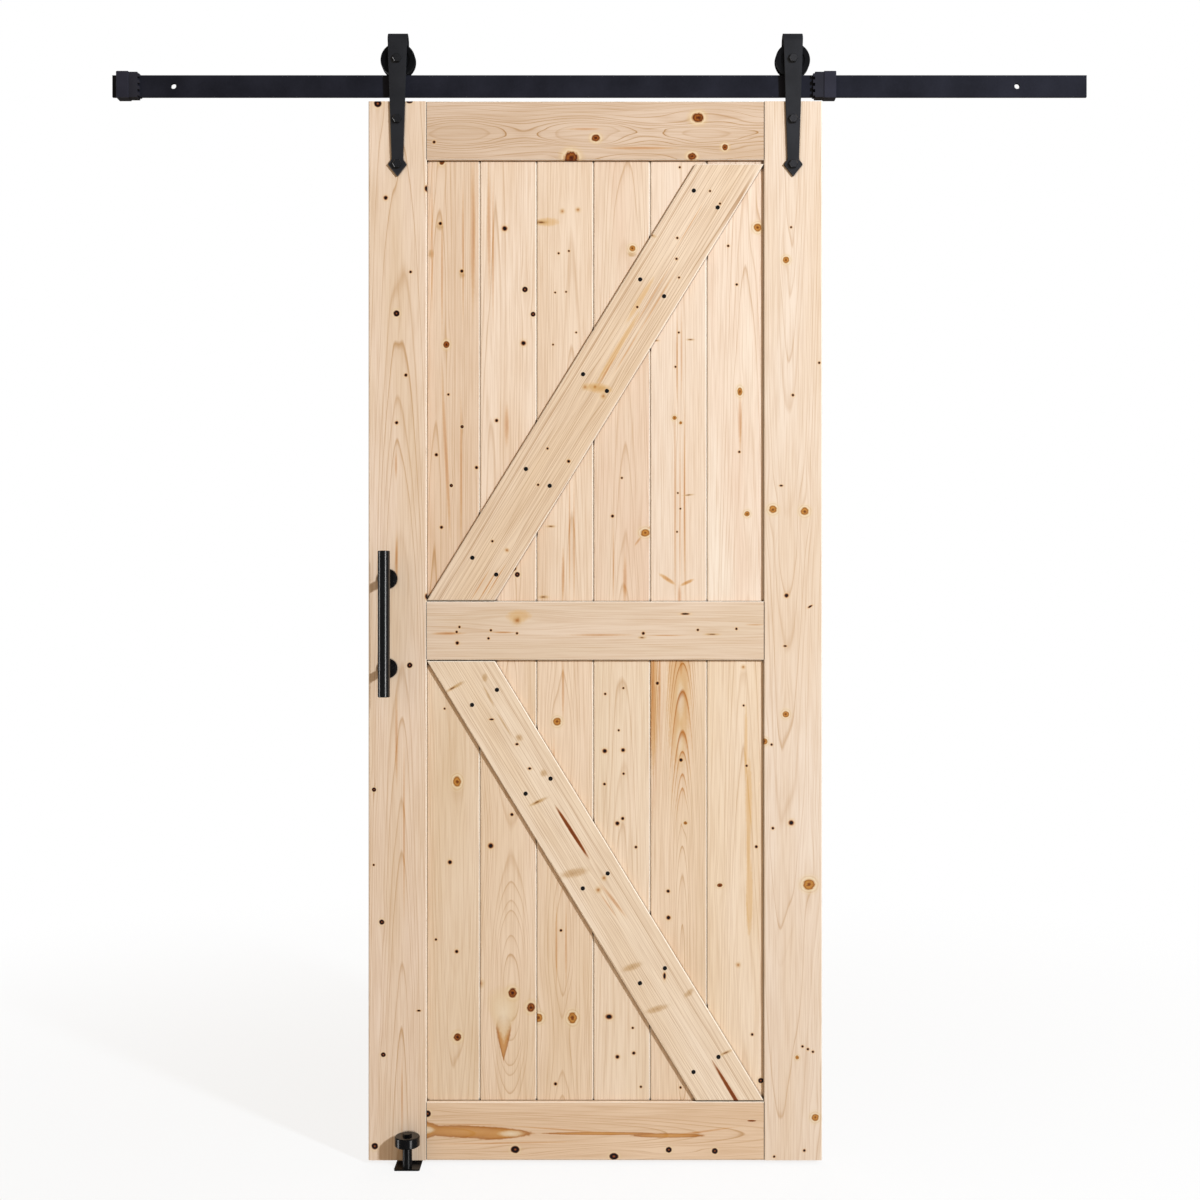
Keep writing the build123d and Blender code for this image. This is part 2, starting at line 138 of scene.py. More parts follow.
# Wood: planed, unfinished spruce. Cream earlywood, thin tan latewood lines that swerve round the
# knots, red-brown live knots, black-ringed dead ones, tiny pin knots and orange resin streaks.
# A mark is (px, py, half width, half height, turn, taper) in photo pixels and degrees; taper narrows
# its right end and widens its left one. Its look runs from the middle out to `reach` times its size.
markLooks = {
    "smudge": {
        "reach": 1.0, "ragged": 0.45, "lined": 0.25,
        "stops": [(0, "AC7C3C", 0.85), (0.5, "BE9054", 0.65), (1, "DDC29C", 0)],
    },
    "honey": {
        "reach": 1.0, "ragged": 0.35, "lined": 0.3,
        "stops": [(0, "D6A25C", 0.82), (0.6, "D9A866", 0.75), (0.85, "DEB47C", 0.45), (1, "E4C496", 0)],
    },
    "resin": {
        "reach": 1.0, "ragged": 0.22, "lined": 0.1,
        "stops": [(0, "CB8D42", 0.9), (0.55, "C08038", 0.95), (0.84, "A66422", 0.95), (1, "D2A068", 0)],
    },
    "pale": {
        "reach": 1.0, "ragged": 0.3, "lined": 0,
        "stops": [(0, "EED7B8", 0.9), (0.6, "E6C9A2", 0.75), (1, "DDB985", 0)],
    },
    "flame": {
        "reach": 1.0, "ragged": 0.3, "lined": 0.94,
        "stops": [(0, "A85E16", 1), (0.55, "B87028", 0.95), (0.8, "C88A48", 0.7), (1, "DCAE78", 0)],
    },
    "streak": {
        "reach": 1.0, "ragged": 0.25, "lined": 0.3,
        "stops": [(0, "B8702A", 0.85), (0.45, "C58238", 0.65), (0.75, "D29A58", 0.3), (1, "DDB482", 0)],
    },
    "soft": {
        "reach": 1.7, "ragged": 0.4, "lined": 0,
        "stops": [
            (0, "A2622A", 0.95), (0.16, "B87B3C", 0.85), (0.36, "CC9A5E", 0.6), (0.7, "DDB985", 0.32),
            (1, "E2C296", 0),
        ],
    },
    "spike": {
        "reach": 2.0, "ragged": 0.3, "lined": 0,
        "stops": [
            (0, "5E3010", 0.95), (0.2, "8A5420", 0.9), (0.4, "C29455", 0.6), (0.7, "D4AE78", 0.35),
            (1, "DDBB8C", 0),
        ],
    },
    "live": {
        "reach": 2.2, "ragged": 0.24, "lined": 0, "specks": ("6A3A16", 0.36),
        "stops": [
            (0, "783808", 1), (0.1, "8C4A12", 1), (0.19, "C4863C", 1), (0.3, "BE7E34", 1),
            (0.38, "945214", 1), (0.45, "D9B27C", 0.8), (0.55, "F0DAB4", 0.7), (0.69, "D6AE7E", 0.45),
            (0.8, "EBD2AA", 0.3), (1, "DDBB8C", 0),
        ],
    },
    "brown": {
        "reach": 2.2, "ragged": 0.26, "lined": 0, "specks": ("2A0A00", 0.42),
        "stops": [
            (0, "380A00", 1), (0.12, "6E2C06", 1), (0.23, "A05A1C", 1), (0.33, "843C0C", 1),
            (0.39, "501A02", 1), (0.45, "C08C54", 0.85), (0.55, "EED4AA", 0.7), (0.75, "E0BC8A", 0.35),
            (1, "DDBB8C", 0),
        ],
    },
    "dead": {
        "reach": 2.2, "ragged": 0.14, "lined": 0,
        "stops": [
            (0, "A85C2C", 1), (0.11, "7C3814", 1), (0.19, "1C0300", 1), (0.42, "120100", 1),
            (0.49, "8A4E22", 0.8), (0.57, "EBCFA4", 0.55), (1, "DDBB8C", 0),
        ],
    },
    "pin": {
        "reach": 3.2, "ragged": 0.12, "lined": 0,
        "stops": [
            (0, "0A0000", 1), (0.27, "140300", 1), (0.36, "7A3408", 0.95), (0.46, "C08440", 0.7),
            (0.6, "E6C496", 0.45), (1, "DDBB8C", 0),
        ],
    },
    "crack": {
        "reach": 1.0, "ragged": 0.12, "lined": 0,
        "stops": [(0, "702F0A", 1), (0.72, "8A4514", 1), (0.9, "B27A48", 0.6), (1, "D8B890", 0)],
    },
}

spruce = {
    "late": "BE8F5C",
    "ringMm": 5.0,                  # growth rings are 2 to 4 mm; drawn coarser so that they show
    "ringStops": [                  # one year: pale earlywood darkens slowly and ends sharply
        (0, "000000", 1), (0.45, "161616", 1), (0.72, "767676", 1), (0.88, "FFFFFF", 1), (0.97, "000000", 1),
    ],
    "faintest": 0.15,               # years differ in strength, from this share up to the whole
    "wave": None,                   # depth swing of the pith: mm, its length in mm, photo pixel of a crest
    "wander": (45.0, 520.0, 1.7),   # waviness: mm across, mm along, rings
    "pace": (0.45, 3.0),            # rings crowd and spread: how often per ring, by how many rings
    "swerve": (0.9, 3.2, 5),        # round a knot, in its size: push, reach, and how much longer it is
    "fibreMm": (2.6, 110.0),        # wood fibre is under 0.1 mm wide; drawn coarser
    "fibreSpan": (0.42, 0.75), "fibreShare": 0.36,
    "blotchMm": (70.0, 420.0), "blotchSpan": (0.3, 0.7),
    "raggedMm": (4, 6),             # frayed rims of knots and stains
    "specksMm": (1.4, 2.2), "specksSpan": (0.48, 0.64), "specksShare": 0.55,
    "seedStep": (7.3, 3.1, 5.7),    # moves each board's noise away from the next one's
    "far": 1e6,                     # marks run right through the board
    "bevel": ("FFF3E2", 0.5, 0.707, 0.15),          # painted highlight on the bevels: colour, cover, cosine, spread
    # painted shade in the corners: colour, reach in metres, open share from and to, cover
    "corner": ("2C1404", 0.0065, 0.38, 0.74, 0.9),
    "rough": (0.62, 0.5),           # of earlywood and latewood
    "relief": (0.5, 0.25, 0.0002),  # share of the fibre beside the rings, strength, metres
    "ior": 1.5, "level": 0.2,
}

# Each board has its own tones and ring strength. Its pith is given in mm across from the board's middle
# and behind its face, and its lean is how the pith wanders across and in depth, mm per mm of length.
boardLooks = {
    "left_stile": {
        "light": "F2D8C0", "warm": "E8CBAC", "pith": (6, 48), "lean": (0, 0.03), "contrast": 0.85,
        "dead": [
            (377.8, 103.5, 3.4), (409.5, 101.5, 3, 1.8), (396.5, 313.4, 2.8), (409.7, 665.2, 2.5),
            (374, 789.6, 2), (381.8, 922.1, 2.4), (383.3, 1054.7, 2.2), (374.8, 1146.2, 3),
        ],
        "pin": [
            (385.7, 197.8, 1.5), (410.6, 271.9, 1), (405.9, 375.1, 1.2), (396.6, 422.7, 1.2),
            (373.7, 864.9, 0.8), (418.8, 1010.7, 1.4, 0.7), (426.6, 188.5, 1.4, 2.2),
            (427, 596.4, 1.4, 2.2),
        ],
        "streak": [
            (396, 465, 1.6, 18), (396.5, 560, 1.8, 34), (396.5, 740, 1.8, 55), (404, 830, 1.2, 110),
            (402, 1100, 1.2, 50),
        ],
    },
    "right_stile": {
        "light": "F0D9C2", "warm": "EACFB3", "pith": (-12, 60), "lean": (0.01, -0.03), "contrast": 0.6,
        "live": [
            (786, 259.8, 3.3), (772.9, 509.4, 4), (804.7, 511.4, 4.1), (785.8, 714.2, 3.3),
            (764.4, 741.5, 3.1), (809, 884.4, 6, 5.3), (797.1, 1057.5, 2), (815.3, 1117.5, 3.7),
        ],
        "pin": [
            (791.1, 227.2, 0.8), (792.9, 395.1, 1), (819.2, 362.8, 0.9), (781.2, 485.6, 1.3, 0.7),
            (786.5, 595.5, 1.5), (810.1, 606.5, 1.8, 0.7, 30), (785.1, 646, 1.3, 0.7), (771.6, 744.6, 0.9),
            (791.3, 822.8, 1.8), (772.9, 828.2, 1), (802.5, 1046.4, 0.9), (807.9, 1049.2, 0.9),
            (812.9, 1051.8, 0.9), (804.3, 1150.5, 1), (774.2, 1156.6, 0.9),
        ],
    },
    "top_rail": {
        "light": "E1C5AB", "warm": "D4B597", "pith": (5.5, 36), "lean": (0, 0), "contrast": 1.3,
        "ringMm": 3.4, "late": "AE7E48",
        "wave": (4, 247, 522, 133), "wander": (30.0, 160.0, 2.4),
        "brown": [
            (571, 157.7, 6.9, 6.3), (595.8, 138, 4.2, 3.5), (698, 117.7, 5.7, 4.8), (724.9, 147.1, 3),
            (692.2, 156.3, 4.2, 3.4),
        ],
        "pin": [(434.1, 142, 1.1)],
        "streak": [(585, 129, 22, 1.6), (640, 148, 45, 2)],
    },
    "middle_rail": {
        "light": "EBD1B8", "warm": "E0C5A7", "pith": (-2, 36), "lean": (0, 0.012), "contrast": 0.65,
        "ringMm": 3.6,
        "soft": [(517, 620.4, 5, 4.2)],
        "honey": [(519, 616, 14, 7)],
        "pin": [
            (459.4, 627, 0.9), (456.7, 631.9, 0.9), (457.2, 643, 1.3), (490.9, 630.3, 0.9),
            (488.5, 638.4, 0.9), (517, 633.3, 0.9), (643.3, 633.3, 1.1), (697.9, 629.9, 0.9),
            (736.4, 628.8, 0.9), (685.2, 613.9, 3, 0.7),
        ],
        "spike": [(642, 637.6, 3, 1), (712, 634.3, 6, 0.9)],
        "streak": [
            (448, 633.5, 20, 2.2), (504, 632.5, 14, 1.2), (601, 635, 38, 1.4), (668, 635.5, 24, 0.8),
            (755, 624.8, 12, 1),
        ],
    },
    "bottom_rail": {
        "light": "EFD0B0", "warm": "E2BF9C", "pith": (4.6, 40), "lean": (0, 0.035), "contrast": 0.9,
        "ringMm": 3.8,
        "dead": [
            (427.5, 1113.7, 3), (515.2, 1149.5, 4, 3.3), (613.9, 1156.4, 4, 3), (668.8, 1149.8, 2.7),
            (714.8, 1151, 2.7),
        ],
        "crack": [(751.8, 1120.8, 5, 1)],
        "resin": [
            (420, 1130, 36, 11.5, 0, 0.85), (468, 1131.8, 66, 6.8, -2), (500, 1133.4, 35, 6.6, 0, 0.4),
            (600, 1133.5, 62, 1.7), (668, 1135.5, 40, 2.4),
        ],
        "pale": [(511, 1133.6, 15, 3.8), (428, 1130, 8, 4.5, 0, 0.4)],
        "streak": [
            (560, 1129.5, 60, 1.1, -4), (470, 1124.5, 46, 1, -1), (505, 1143, 90, 1, 1),
            (700, 1132, 48, 1.4, 8),
        ],
    },
    "upper_board_1": {
        "light": "ECD0B4", "warm": "E2C1A1", "pith": (-30, 30), "lean": (0.02, 0.02), "contrast": 0.95,
        "brown": [(441.8, 162, 2.8), (446.4, 344.6, 2.9, 3.5)],
        "dead": [(462.1, 426.7, 1.5), (451.3, 485.5, 1.6)],
        "pin": [
            (440.4, 223.5, 1.2), (461.8, 271.1, 1.2), (448.4, 394.5, 0.9), (436.4, 454.8, 1.2),
            (476.5, 467.5, 1.2), (441.5, 527.3, 1.2),
        ],
        "smudge": [(431, 254, 4, 6), (440, 226, 5, 6), (462, 274, 4, 6)],
        "streak": [
            (432, 245, 1.2, 85), (442, 275, 1.4, 70), (463, 250, 1.4, 85), (473, 235, 3, 95),
            (446, 455, 2.4, 100, 3), (461, 470, 1.6, 90),
        ],
    },
    "upper_board_2": {
        "light": "F6DDC4", "warm": "ECCEB0", "pith": (-34, 40), "lean": (0.015, 0.01), "contrast": 0.75,
        "dead": [(524.9, 289.5, 2.5), (533.1, 314.2, 2.2), (517.3, 574.5, 2.4)],
        "pin": [
            (504.7, 228.5, 1.8), (523.4, 343.2, 1.7), (496.6, 420.5, 1.2), (514.3, 569.5, 1.8, 0.8, 40),
        ],
        "streak": [(489, 230, 2.4, 75), (493, 250, 1.4, 90), (506.7, 425, 3, 25)],
    },
    "upper_board_3": {
        "light": "F2D8BD", "warm": "E8C9AA", "pith": (12, 42), "lean": (0, 0.02), "contrast": 0.65,
        "soft": [(578, 209.8, 2.4), (562.3, 211.4, 2.4)],
        "honey": [(547, 222, 14, 5)],
        "pin": [
            (558.6, 253.3, 0.8), (568.9, 251, 0.8), (555.2, 292.5, 0.7), (566.1, 291.8, 0.7),
            (576.2, 332.5, 0.7), (553, 344.6, 0.7),
        ],
        "spike": [(541, 222.3, 6, 1.6), (550.9, 526.4, 3.4, 1), (543.5, 597, 3.6, 1.3)],
        "streak": [(569.5, 530, 1.1, 85), (574, 540, 1.1, 80), (563, 575, 2, 34)],
    },
    "upper_board_4": {
        "light": "F0D7BC", "warm": "EACAAE", "pith": (4, 46), "lean": (0, 0.03), "contrast": 0.65,
        "live": [(632.4, 248.4, 3.2), (645.2, 532.7, 4.5, 3.8)],
        "pin": [(621.8, 477.9, 0.8), (612.5, 516.1, 1.1)],
        "smudge": [(632, 254, 6, 4)],
        "streak": [
            (613.5, 565, 1, 48), (625, 580, 2.6, 30), (638, 541, 7, 1.6, 55), (650, 527, 5, 1.2, 40),
        ],
    },
    "upper_board_5": {
        "light": "F4DDC6", "warm": "F0D5BA", "pith": (3, 22), "lean": (0, 0.004), "contrast": 0.4,
        "live": [(674.5, 417.8, 2.2), (680.7, 422.8, 1.6)],
        "pin": [
            (679.8, 167.3, 0.8), (678.8, 332.5, 0.8), (675.5, 366.8, 0.8), (677.9, 493, 0.7),
            (680.3, 508.7, 0.7), (677, 531.8, 0.7),
        ],
        "spike": [(690.4, 339.6, 3, 0.8), (655.5, 340.6, 3, 0.8), (688.4, 495, 4, 0.7, 6)],
        "streak": [
            (675, 500, 1.3, 130), (684.5, 500, 1.4, 120), (680, 510, 1, 100), (679.5, 596, 2.4, 16),
            (677, 360, 1.1, 58), (681.5, 355, 1.2, 52), (668, 579.5, 11, 2.2, -34),
            (687, 582.5, 9, 2.2, 25),
        ],
        "honey": [(667, 579, 11, 2.4, -34), (687, 582.5, 8, 2, 25)],
    },
    "upper_board_6": {
        "light": "F7E2CB", "warm": "EFD2B8", "pith": (16, 55), "lean": (0, 0.02), "contrast": 0.65,
        "live": [(757.6, 227.6, 4), (739.9, 391.4, 2.6, 4.2), (747, 513.7, 2.8)],
        "pin": [(728.2, 245.9, 0.9), (736.7, 284.5, 0.9), (739.3, 451.9, 0.9)],
        "streak": [(740, 420, 2.4, 34)],
    },
    "lower_board_1": {
        "light": "F0D6B9", "warm": "E5C8A6", "pith": (8, 50), "lean": (0, -0.025), "contrast": 0.5,
        "live": [(457.2, 781.5, 4, 5.4)],
        "brown": [(457.5, 1037.1, 3.6, 4)],
        "pin": [(444.6, 708.7, 0.8), (449.9, 862.2, 1.5), (435.9, 939.5, 0.9), (456.7, 951.5, 1.3)],
    },
    "lower_board_2": {
        "light": "F1D5B8", "warm": "E8CAA8", "pith": (2, 34), "lean": (0, 0), "contrast": 0.75,
        "wave": (13, 600, 503, 841),
        "soft": [(479.4, 983.3, 4)],
        "brown": [(512.7, 993, 4, 5), (530.9, 1007.3, 4, 4.5)],
        "resin": [(503.6, 1038, 26, 6.5, -90, 0.95)],
        "pale": [(503.8, 1016, 31, 14, -90, 0.95)],
        "pin": [(511.9, 814.5, 1.2), (490.7, 845.8, 1.9)],
    },
    "lower_board_3": {
        "light": "F1D5B8", "warm": "E9CBA9", "pith": (-8, 34), "lean": (0, 0), "contrast": 0.7,
        "wave": (3.5, 400, 561, 1045),
        "live": [(557.1, 721.6, 4), (538.2, 1017.6, 4.5), (572.5, 1017.9, 4.5, 5.5)],
        "pin": [(561, 930.4, 1), (555.5, 1083.9, 1.2)],
        "streak": [(563, 690, 1.6, 40), (554, 770, 1.4, 40), (556.5, 945, 1.2, 48), (566, 945, 1.2, 48)],
    },
    "lower_board_4": {
        "light": "F4DABE", "warm": "ECD2B3", "pith": (-4, 58), "lean": (0, 0.02), "contrast": 0.5,
        "pin": [
            (605.2, 693.9, 0.9), (623.3, 688.1, 0.8), (618.7, 730.3, 0.8), (604.7, 751, 1.6),
            (623.1, 750.1, 1.4), (623.6, 773.7, 0.9), (604.5, 784.1, 1), (617.4, 823.4, 1.5),
            (622.7, 818.5, 1.2), (635.9, 847.1, 1), (609, 1016.7, 2.4, 1.8), (632.7, 1027.9, 0.9),
            (633.8, 1053.1, 1.2), (617.5, 1056.8, 1.4), (640.9, 1086.8, 0.9),
        ],
    },
    "lower_board_5": {
        "light": "F1D5B7", "warm": "E7C9A7", "pith": (5, 11.4), "lean": (0, 0.06), "contrast": 0.9,
        "ringMm": 3.2,
        "live": [(685.4, 823, 1.9)],
        "pin": [
            (657.4, 683.2, 1.2), (680.9, 760, 1.3), (668.1, 891.2, 1.2), (668.4, 917.6, 1.5),
            (680.5, 1087.5, 0.9),
        ],
        "flame": [(680, 676, 16, 160), (655, 700, 11, 130)],
        "honey": [(679, 690, 13, 90), (653, 690, 6, 90)],
        "pale": [(680.5, 700, 5, 26), (679.5, 742, 5, 20)],
        "streak": [(653, 690, 3.4, 85), (659.5, 690, 1.4, 70), (681, 664, 2.4, 16)],
    },
    "lower_board_6": {
        "light": "F4DBBF", "warm": "ECCFAC", "pith": (14, 55), "lean": (0, 0.02), "contrast": 0.6,
        "soft": [(743.2, 667, 2.2), (738.1, 964.8, 2.4)],
        "brown": [(719.9, 885.2, 2.7, 1.9)],
        "dead": [(760.9, 1080.6, 2.5)],
        "pin": [
            (743.6, 705.5, 0.8), (746.6, 765.8, 0.9), (704.9, 781, 0.9), (756.3, 846.7, 1.1),
            (752.2, 1034.5, 1),
        ],
        "honey": [(748.8, 800, 4, 46), (748.5, 850, 2.4, 70), (749.4, 895, 4, 46), (746, 745, 2, 45)],
    },
    "upper_brace": {
        "light": "F1D7BB", "warm": "E9CBA9", "pith": (62, 26), "lean": (0, 0.01), "contrast": 1.0,
        "ringMm": 4.6, "late": "A06C34",
        "soft": [(585, 387, 3), (594.8, 386.7, 2.4), (603.5, 396, 3), (506.9, 550.2, 2.2)],
        "pin": [
            (677.3, 238, 0.9), (676.5, 258.8, 0.9), (679, 277.5, 0.8), (637.3, 307, 0.9), (710, 191, 0.8),
            (720, 203.6, 0.8), (547.5, 448.5, 0.9), (568.6, 461.3, 1.2), (538.1, 484.8, 0.9),
            (492.4, 541.2, 0.9),
        ],
        "spike": [(651, 235, 4, 1.2, -20)],
        "smudge": [(598, 388, 16, 4, -8)],
        "honey": [(618, 348, 48, 3.4, 59), (598, 388, 16, 6, -8), (640, 300, 30, 3, 59)],
        "streak": [
            (606, 372, 30, 1.6, 59), (628, 350, 34, 1, 59), (690, 225, 34, 1, 59), (480, 585, 22, 1.2, 59),
            (488, 585, 24, 1.2, 59), (496, 580, 24, 1.2, 59), (650, 300, 50, 1, 59), (656, 304, 50, 1, 59),
        ],
    },
    "lower_brace": {
        "light": "F8E1C6", "warm": "F0D5B5", "pith": (-68, 24), "lean": (0, 0.006), "contrast": 0.9,
        "ringMm": 4.6, "late": "AC7C48",
        "soft": [(598.2, 890, 3), (604, 878, 2.4)],
        "pin": [
            (491.5, 719.4, 1.6, 0.7), (517, 744.2, 1.2, 0.9), (529.7, 768.5, 1.2, 0.9),
            (664.5, 976, 1, 2.4),
        ],
        "spike": [(452, 688.5, 5, 1.1, 30), (536.4, 802.4, 5, 1.1, 26), (725.8, 1052.7, 5, 1.1, 24)],
        "smudge": [
            (484.8, 677.6, 4, 6), (519.2, 737.6, 5, 5), (543.6, 773.3, 5, 5), (574, 873, 20, 6, 12),
            (632, 967, 14, 5, 20), (657, 1009, 16, 4.5, 16), (689, 993, 8, 4, 40), (458, 685, 10, 2.5, 30),
            (540, 801, 12, 2.5, 26), (489, 697, 17, 1.7, -62), (504, 724, 22, 1.3, -59),
        ],
        "streak": [(613, 900, 26, 2.4, -52), (608, 905, 20, 1.2, -56)],
        "crack": [(572, 832, 34, 2.1, -57.5), (737, 1102, 53, 2.2, -59)],
    },
}
braceSlope = math.radians(58.9)     # of both braces against the rails
boardTurns = {
    "top_rail": -math.pi / 2, "middle_rail": -math.pi / 2, "bottom_rail": -math.pi / 2,
    "upper_brace": braceSlope - math.pi / 2, "lower_brace": math.pi / 2 - braceSlope,
}


def makeWood(nodeName, look, seed):
    wood = {**spruce, **look}
    material, tree, shader = newMaterial("planedSpruce_" + nodeName)
    low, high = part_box(nodeName)
    middle = frontMiddle(low, high)
    depth = low.y - photo["eye"].y
    turn = (0, boardTurns.get(nodeName, 0), 0)
    spin = Euler(turn).to_matrix()
    place = addNode(tree, "ShaderNodeTexCoord", {})
    spot = place.outputs["Object"]
    # the board's own millimetres: x across the grain, y behind the face, z along the grain
    board = addNode(tree, "ShaderNodeMapping", {
        "Vector": spot, "Location": spin @ middle * -mmPerMetre, "Rotation": turn, "Scale": [mmPerMetre] * 3,
    }).outputs[0]

    # grain swerves round the larger knots
    grain = board
    push, span, stretch = wood["swerve"]
    knots = [mark for kind in ("live", "brown", "soft", "dead") for mark in wood.get(kind, [])]
    for px, py, size, *_ in knots:
        reach = size * mmPerMetre * depth / photo["focal"]
        offset = addNode(tree, "ShaderNodeMapping", {
            "Vector": board, "Location": spin @ (onDoor(px, py, low.y) - middle) * mmPerMetre,
            "Scale": (reach, wood["far"], reach * stretch),
        }, vector_type="TEXTURE").outputs[0]
        away = calculateVector(tree, "LENGTH", offset)
        near = mapRange(tree, away, (0, span), (push, 0), interpolation_type="SMOOTHSTEP")
        shift = addNode(tree, "ShaderNodeVectorMath", {
            0: offset, "Scale": near,
        }, operation="SCALE").outputs[0]
        grain = calculateVector(tree, "MULTIPLY_ADD", shift, (-reach, 0, 0), grain)

    # noises along the grain: size across and along, detail
    noises = {}
    for name, (wide, long), detail in (
        ("wander", wood["wander"][:2], 1.5),
        ("fibre", wood["fibreMm"], 3),
        ("blotch", wood["blotchMm"], 2),
        ("ragged", wood["raggedMm"], 2),
        ("specks", wood["specksMm"], 1),
    ):
        moved = [seed * step for step in wood["seedStep"]]
        stretched = calculateVector(tree, "MULTIPLY_ADD", grain, (1 / wide, 1 / wide, 1 / long), moved)
        noises[name] = addNode(tree, "ShaderNodeTexNoise", {
            "Vector": stretched, "Scale": 1, "Detail": detail,
        }).outputs[0]

    # growth rings round a leaning pith
    leanAcross, leanDeep = wood["lean"]
    across = calculateVector(tree, "DOT_PRODUCT", grain, (1, 0, -leanAcross))
    deep = calculateVector(tree, "DOT_PRODUCT", grain, (0, 1, -leanDeep))
    if wood["wave"]:
        swing, length, *crest = wood["wave"]
        crest = (spin @ (onDoor(*crest, low.y) - middle)).z * mmPerMetre
        turns = 2 * math.pi / length
        phase = calculateVector(tree, "DOT_PRODUCT", grain, (0, 0, turns))
        phase = calculate(tree, "SUBTRACT", phase, crest * turns)
        rise = calculate(tree, "COSINE", phase)
        deep = calculate(tree, "MULTIPLY_ADD", rise, -swing, deep)
    fromPith = addNode(tree, "ShaderNodeCombineXYZ", {0: across, 1: deep}).outputs[0]
    fromPith = calculateVector(tree, "SUBTRACT", fromPith, (*wood["pith"], 0))
    radius = calculateVector(tree, "LENGTH", fromPith)
    rings = calculate(tree, "DIVIDE", radius, wood["ringMm"])
    rings = calculate(tree, "MULTIPLY_ADD", noises["wander"], wood["wander"][2], rings)
    often, crowding = wood["pace"]
    pace = addNode(tree, "ShaderNodeTexNoise", {
        "W": rings, "Scale": often, "Detail": 1,
    }, noise_dimensions="1D").outputs[0]
    rings = calculate(tree, "MULTIPLY_ADD", pace, crowding, rings)
    part = calculate(tree, "FRACT", rings)
    line = addNode(tree, "ShaderNodeValToRGB", {0: part}, stops=wood["ringStops"]).outputs[0]
    year = calculate(tree, "FLOOR", rings)
    season = addNode(tree, "ShaderNodeTexWhiteNoise", {"W": year}, noise_dimensions="1D").outputs["Value"]
    season = mapRange(tree, season, target=(wood["faintest"], 1))
    late = calculate(tree, "MULTIPLY", line, season)

    # earlywood in two tones, latewood lines, fine fibre
    blotch = mapRange(tree, noises["blotch"], wood["blotchSpan"])
    colour = mixColour(tree, blotch, hexToLinear(wood["light"]), hexToLinear(wood["warm"]))
    share = calculate(tree, "MULTIPLY", late, wood["contrast"])
    colour = mixColour(tree, share, colour, hexToLinear(wood["late"]))
    fibre = mapRange(tree, noises["fibre"], wood["fibreSpan"], (0, wood["fibreShare"]))
    colour = mixColour(tree, fibre, colour, hexToLinear(wood["late"]))

    # painted highlight: bevels and chamfers that face half forward are painted paler so they read as lit
    # edges
    bevelHighlightColour, cover, slope, spread = wood["bevel"]
    facing = calculateVector(tree, "DOT_PRODUCT", place.outputs["Normal"], (0, -1, 0))
    bevelHighlight = calculate(tree, "COMPARE", facing, slope, spread)
    bevelHighlight = calculate(tree, "MULTIPLY", bevelHighlight, cover)
    colour = mixColour(tree, bevelHighlight, colour, hexToLinear(bevelHighlightColour))

    # knots and other marks, each kind by the nearest one
    for kind, finish in markLooks.items():
        nearest = None
        for px, py, halfWidth, *rest in wood.get(kind, []):
            halfHeight = rest[0] if rest else halfWidth
            tilt = math.radians(rest[1]) if len(rest) > 1 else 0
            reach = finish["reach"] * depth / photo["focal"]
            offset = addNode(tree, "ShaderNodeMapping", {
                "Vector": spot, "Location": onDoor(px, py, low.y), "Rotation": (0, -tilt, 0),
                "Scale": (halfWidth * reach, wood["far"], halfHeight * reach),
            }, vector_type="TEXTURE").outputs[0]
            if len(rest) > 2:
                thin = calculateVector(tree, "DOT_PRODUCT", offset, (-rest[2], 0, 0))
                thin = calculate(tree, "ADD", thin, 1.0)
                thin = addNode(tree, "ShaderNodeCombineXYZ", {0: 1.0, 1: 1.0, 2: thin}).outputs[0]
                offset = calculateVector(tree, "DIVIDE", offset, thin)
            away = calculateVector(tree, "LENGTH", offset)
            nearest = away if nearest is None else calculate(tree, "MINIMUM", nearest, away)
        if nearest is None:
            continue
        frayed = calculate(tree, "MULTIPLY_ADD", noises["ragged"], finish["ragged"], nearest)
        frayed = calculate(tree, "SUBTRACT", frayed, finish["ragged"] / 2)
        stain = addNode(tree, "ShaderNodeValToRGB", {0: frayed}, stops=finish["stops"])
        cover = stain.outputs["Alpha"]
        stain = stain.outputs["Color"]
        if "specks" in finish:
            dark, rim = finish["specks"]
            inside = mapRange(tree, frayed, (rim, rim / 2))
            specks = mapRange(tree, noises["specks"], wood["specksSpan"], (0, wood["specksShare"]))
            specks = calculate(tree, "MULTIPLY", specks, inside)
            stain = mixColour(tree, specks, stain, hexToLinear(dark))
        if finish["lined"]:
            lined = mapRange(tree, line, target=(1 - finish["lined"], 1))
            cover = calculate(tree, "MULTIPLY", cover, lined)
        colour = mixColour(tree, cover, colour, stain)

    # painted shade: ambient occlusion darkens the wood in the vees, joints and the corners along the braces
    cornerShadeColour, reach, shut, clear, cover = wood["corner"]
    openShare = addNode(tree, "ShaderNodeAmbientOcclusion", {"Distance": reach}, samples=8).outputs["AO"]
    cornerShade = mapRange(tree, openShare, (shut, clear), (cover, 0))
    colour = mixColour(tree, cornerShade, colour, hexToLinear(cornerShadeColour))

    # latewood is a little smoother and stands proud
    rough = mapRange(tree, late, target=wood["rough"])
    fibreRise, strength, distance = wood["relief"]
    height = calculate(tree, "MULTIPLY_ADD", noises["fibre"], fibreRise, late)
    bump = addNode(tree, "ShaderNodeBump", {
        "Height": height, "Strength": strength, "Distance": distance,
    }).outputs[0]
    tree.links.new(colour, shader.inputs["Base Color"])
    tree.links.new(rough, shader.inputs["Roughness"])
    tree.links.new(bump, shader.inputs["Normal"])
    shader.inputs["IOR"].default_value = wood["ior"]
    shader.inputs["Specular IOR Level"].default_value = wood["level"]
    return material


for seed, (nodeName, look) in enumerate(boardLooks.items(), 1):
    dress(nodeName, makeWood(nodeName, look, seed))
print("wood:", len(boardLooks), "boards dressed")


